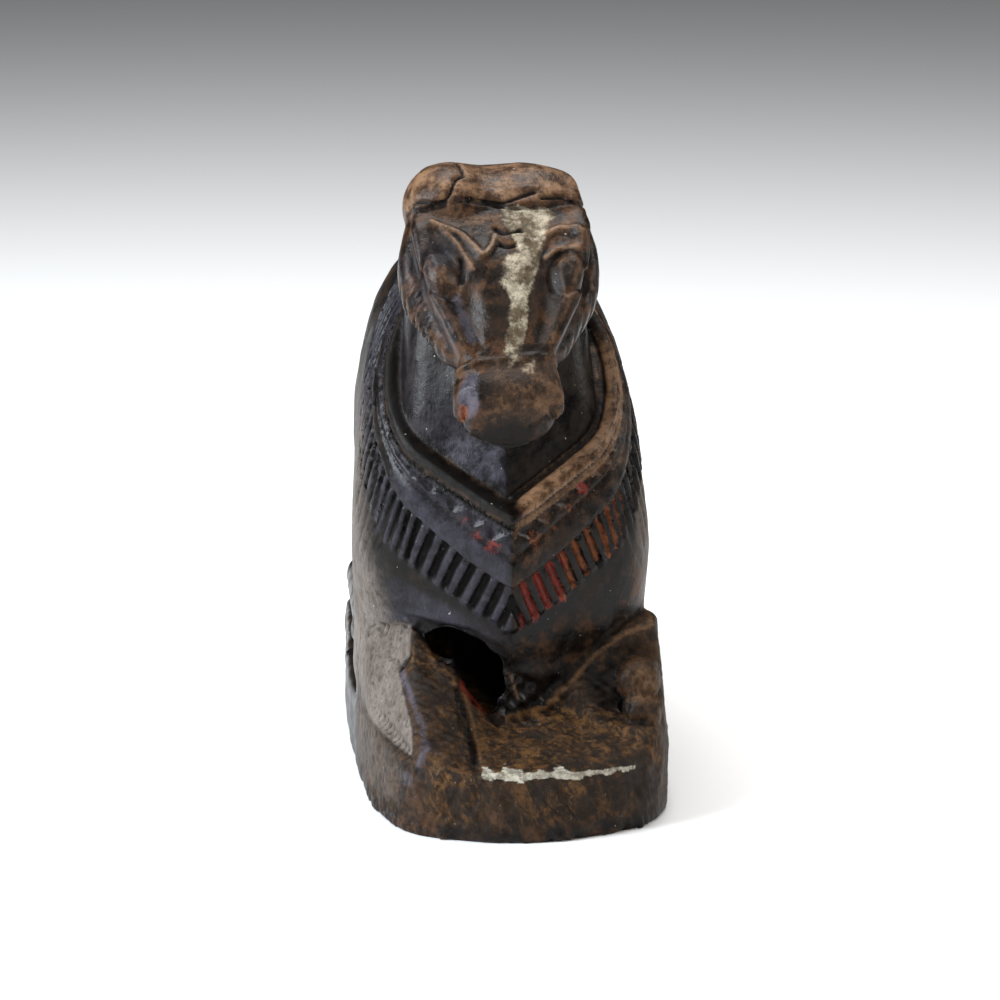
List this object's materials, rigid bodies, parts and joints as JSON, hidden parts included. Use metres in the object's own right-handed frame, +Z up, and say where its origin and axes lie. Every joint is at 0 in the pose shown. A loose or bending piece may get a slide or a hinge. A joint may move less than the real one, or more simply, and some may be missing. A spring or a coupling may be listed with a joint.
{
  "type": "carved seated bull figure",
  "caption": "Seated Nandi bull carved with its plinth from one block of dark hardwood, wearing a broad stepped collar with a gouged fringe, a hump behind its neck and its legs folded under it.",
  "frame": {"origin": "middle of the underside's bounding box, on the ground plane", "axes": "the bull looks along -Y, +Z is up, and +X is on the bull's left side; the length lies along Y"},
  "size_m": [0.0844, 0.2, 0.1701],
  "materials": {
    "carved_wood": "dark polished and worn"
  },
  "bodies": {
    "root": {"nandi_bull_figure": "carved_wood"}
  },
  "joints": []
}
